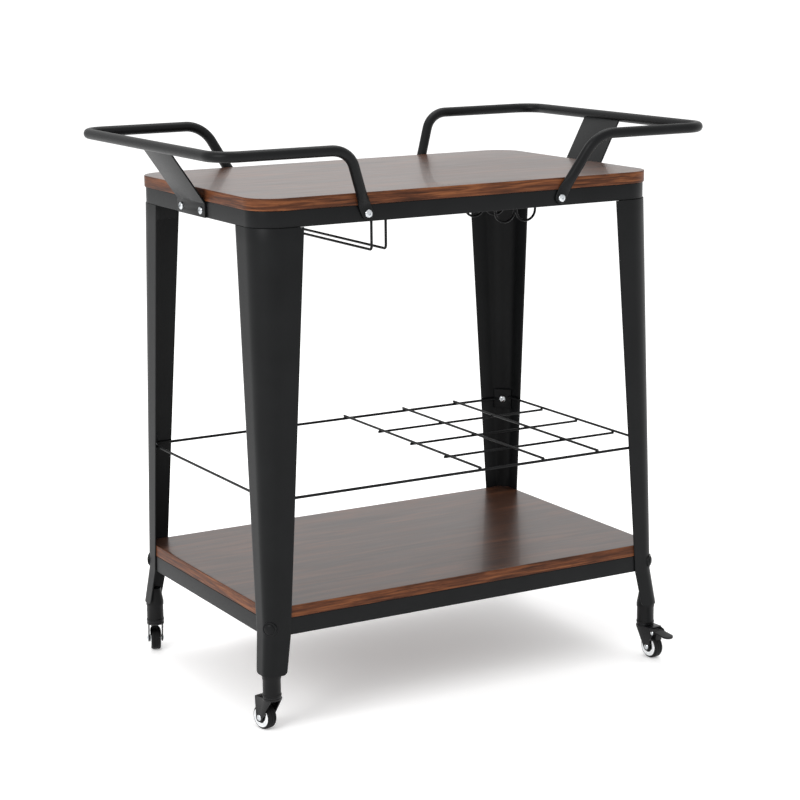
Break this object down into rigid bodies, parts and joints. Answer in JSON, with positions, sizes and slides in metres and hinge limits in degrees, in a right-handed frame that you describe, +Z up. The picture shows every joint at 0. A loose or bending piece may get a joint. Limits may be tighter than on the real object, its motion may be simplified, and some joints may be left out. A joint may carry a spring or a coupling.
{
  "type": "bar cart",
  "caption": "Two-tier bar cart on swivel casters: wood boards in black steel frames, tapered sheet legs, tube handles, a wire bottle rack, glass hanger and hooks",
  "frame": {"origin": "centre of the footprint on the floor, at the bottom of the wheels", "axes": "+X along the cart towards the bottle cells, +Y from the front to the back, +Z up"},
  "size_m": [0.856, 0.5527, 0.864],
  "materials": {
    "black_steel": "satin powder coat",
    "walnut_board": "satin walnut laminate with a sheen",
    "zinc_steel": "bright zinc plate",
    "black_cap": "satin black",
    "black_plastic": "moulded plastic",
    "black_fork": "gloss black enamel",
    "black_rubber": "soft tread rubber",
    "chrome_ring": "polished"
  },
  "bodies": {
    "cart": {"tabletop_board": "walnut_board", "top_frame": "black_steel", "shelf_board": "walnut_board", "shelf_frame": "black_steel", "leg_front_left": "black_steel", "leg_front_right": "black_steel", "leg_back_left": "black_steel", "leg_back_right": "black_steel", "handle_left": "black_steel", "handle_right": "black_steel", "handle_plate_left": "black_steel", "handle_plate_right": "black_steel", "handle_bolts": "zinc_steel", "handle_nuts": "zinc_steel", "leg_bolts": "zinc_steel", "shelf_corner_bolts": "black_cap", "board_screws": "zinc_steel", "rack_rods": "black_steel", "rack_cross_wires": "black_steel", "rack_divider_wires": "black_steel", "rack_brackets": "black_steel", "rack_bolts": "zinc_steel", "glass_wires": "black_steel", "double_hook_front": "black_steel", "double_hook_back": "black_steel", "foot_front_left": "black_plastic", "kingpin_front_left": "black_fork", "foot_front_right": "black_plastic", "kingpin_front_right": "black_fork", "foot_back_left": "black_plastic", "kingpin_back_left": "black_fork", "foot_back_right": "black_plastic", "kingpin_back_right": "black_fork"},
    "caster_front_left": {"fork_front_left": "black_fork", "pins_front_left": "zinc_steel"},
    "wheel_front_left": {"hub_front_left": "black_plastic", "tyre_front_left": "black_rubber", "rings_front_left": "chrome_ring"},
    "caster_front_right": {"fork_front_right": "black_fork", "pins_front_right": "zinc_steel"},
    "wheel_front_right": {"hub_front_right": "black_plastic", "tyre_front_right": "black_rubber", "rings_front_right": "chrome_ring"},
    "brake_lever_front_right": {"brake_front_right": "black_fork"},
    "caster_back_left": {"fork_back_left": "black_fork", "pins_back_left": "zinc_steel"},
    "wheel_back_left": {"hub_back_left": "black_plastic", "tyre_back_left": "black_rubber", "rings_back_left": "chrome_ring"},
    "brake_lever_back_left": {"brake_back_left": "black_fork"},
    "caster_back_right": {"fork_back_right": "black_fork", "pins_back_right": "zinc_steel"},
    "wheel_back_right": {"hub_back_right": "black_plastic", "tyre_back_right": "black_rubber", "rings_back_right": "chrome_ring"}
  },
  "joints": [
    {"name": "swivel_front_left", "type": "hinge", "parent": "cart", "child": "caster_front_left", "pos_m": [-0.339, -0.215, 0.052], "axis": [0, 0, 1], "continuous": true},
    {"name": "roll_front_left", "type": "hinge", "parent": "caster_front_left", "child": "wheel_front_left", "pos_m": [-0.3434, -0.19858, 0.019], "axis": [-0.9659, -0.2588, 0], "continuous": true},
    {"name": "swivel_front_right", "type": "hinge", "parent": "cart", "child": "caster_front_right", "pos_m": [0.339, -0.215, 0.052], "axis": [0, 0, 1], "continuous": true},
    {"name": "roll_front_right", "type": "hinge", "parent": "caster_front_right", "child": "wheel_front_right", "pos_m": [0.34048, -0.23194, 0.019], "axis": [0.9962, 0.0872, 0], "continuous": true},
    {"name": "brake_front_right", "type": "hinge", "parent": "caster_front_right", "child": "brake_lever_front_right", "pos_m": [0.34162, -0.24489, 0.0454], "axis": [0.9962, 0.0872, 0], "range_deg": [0, 8]},
    {"name": "swivel_back_left", "type": "hinge", "parent": "cart", "child": "caster_back_left", "pos_m": [-0.339, 0.215, 0.052], "axis": [0, 0, 1], "continuous": true},
    {"name": "roll_back_left", "type": "hinge", "parent": "caster_back_left", "child": "wheel_back_left", "pos_m": [-0.33319, 0.23098, 0.019], "axis": [-0.9397, 0.342, 0], "continuous": true},
    {"name": "brake_back_left", "type": "hinge", "parent": "caster_back_left", "child": "brake_lever_back_left", "pos_m": [-0.32874, 0.24319, 0.0454], "axis": [-0.9397, 0.342, 0], "range_deg": [0, 8]},
    {"name": "swivel_back_right", "type": "hinge", "parent": "cart", "child": "caster_back_right", "pos_m": [0.339, 0.215, 0.052], "axis": [0, 0, 1], "continuous": true},
    {"name": "roll_back_right", "type": "hinge", "parent": "caster_back_right", "child": "wheel_back_right", "pos_m": [0.3305, 0.22972, 0.019], "axis": [-0.866, -0.5, 0], "continuous": true}
  ]
}
